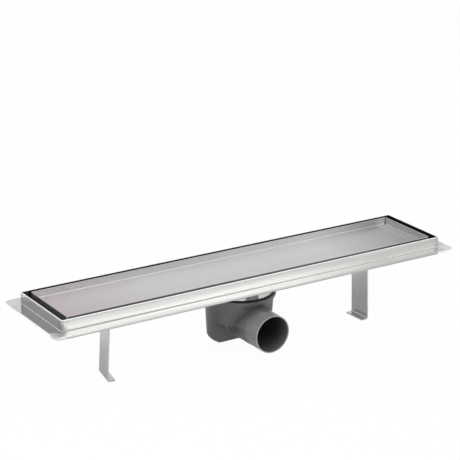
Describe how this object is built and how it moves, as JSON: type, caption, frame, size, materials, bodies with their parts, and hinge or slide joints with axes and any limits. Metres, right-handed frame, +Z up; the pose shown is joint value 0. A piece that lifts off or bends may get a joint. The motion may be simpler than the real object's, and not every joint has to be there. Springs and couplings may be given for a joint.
{
  "type": "linear shower drain",
  "caption": "Long tileable shower drain: stainless trough with collar flange and loose tile tray, plastic siphon with side outlet spigot, bent strip legs.",
  "frame": {"origin": "middle of the rim, on the plane of the rim's top edge, which is the finished floor", "axes": "+X along the trough, -Y the way the outlet points, +Z up"},
  "size_m": [0.6, 0.1485, 0.115],
  "materials": {
    "polished_steel": "bright polished stainless sheet",
    "satin_steel": "satin stainless sheet",
    "zinc_steel": "bright zinc-plated fasteners",
    "grey_plastic": "dark grey moulded polypropylene, satin",
    "black_rubber": "black rubber"
  },
  "bodies": {
    "root": {"channel_trough": "polished_steel", "end_plate_left": "polished_steel", "end_plate_right": "polished_steel", "collar_flange": "polished_steel", "outlet_dish": "polished_steel", "left_leg": "polished_steel", "right_leg": "polished_steel", "tile_tray": "satin_steel", "tray_support_left_outer": "satin_steel", "tray_support_left_inner": "satin_steel", "tray_support_right_inner": "satin_steel", "tray_support_right_outer": "satin_steel", "hair_strainer": "satin_steel", "leg_studs": "zinc_steel", "leg_washers": "zinc_steel", "leg_nuts": "zinc_steel", "siphon_body": "grey_plastic", "lock_ring": "grey_plastic", "dip_tube": "grey_plastic", "dish_gasket": "black_rubber", "dip_tube_seal": "black_rubber"}
  },
  "joints": []
}
